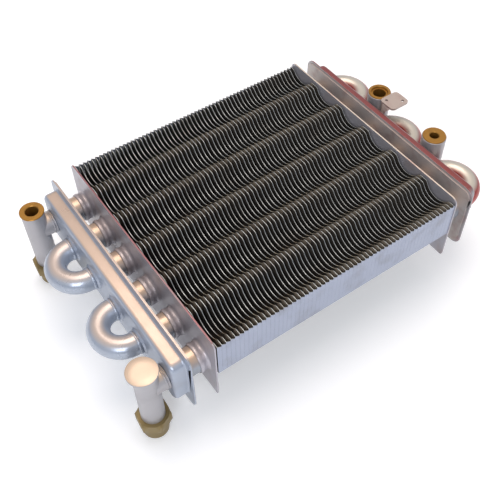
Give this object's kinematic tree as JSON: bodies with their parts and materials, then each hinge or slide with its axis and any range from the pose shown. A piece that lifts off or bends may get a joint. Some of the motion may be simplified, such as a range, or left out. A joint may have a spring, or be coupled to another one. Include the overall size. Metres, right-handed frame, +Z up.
{
  "type": "boiler heat exchanger",
  "caption": "Block of notched fins on level tubes, with pressed end pans, U-bends and brass-ended water connections.",
  "frame": {"origin": "on the floor under the middle of the box around the part, at the spigots' lower ends", "axes": "+X along the tubes to the end with the three U-bends, +Y to the back, +Z up"},
  "size_m": [0.294, 0.178, 0.0807],
  "materials": {
    "fins": "satin",
    "coated_sheet": "satin",
    "tubes": "satin",
    "inner_tubes": "satin",
    "coated_pipe": "satin",
    "brass": "satin",
    "bracket": "satin"
  },
  "bodies": {
    "root": {"fin_pack": "fins", "tube_plate_left": "coated_sheet", "tube_plate_right": "coated_sheet", "header_plate_left": "coated_sheet", "header_plate_right": "coated_sheet", "header_pan_left": "coated_sheet", "header_pan_right": "coated_sheet", "pan_divider": "coated_sheet", "outer_tube_1": "tubes", "outer_tube_2": "tubes", "outer_tube_3": "tubes", "outer_tube_4": "tubes", "outer_tube_5": "tubes", "outer_tube_6": "tubes", "inner_tube_1": "inner_tubes", "inner_tube_2": "inner_tubes", "inner_tube_3": "inner_tubes", "inner_tube_4": "inner_tubes", "inner_tube_5": "inner_tubes", "inner_tube_6": "inner_tubes", "u_bend_left_back": "coated_pipe", "u_bend_left_front": "coated_pipe", "u_bend_right_back": "coated_pipe", "u_bend_right_middle": "coated_pipe", "u_bend_right_front": "coated_pipe", "connector_left_back": "coated_pipe", "connector_left_front": "coated_pipe", "connector_right_back": "coated_pipe", "connector_right_front": "coated_pipe", "connector_end_cap": "coated_pipe", "sensor_bush_left": "brass", "sensor_bush_right_back": "brass", "sensor_bush_right_front": "brass", "hex_fitting_left_back": "brass", "hex_fitting_left_front": "brass", "hex_fitting_right_back": "brass", "hex_fitting_right_front": "brass", "sensor_bracket": "bracket"}
  },
  "joints": []
}
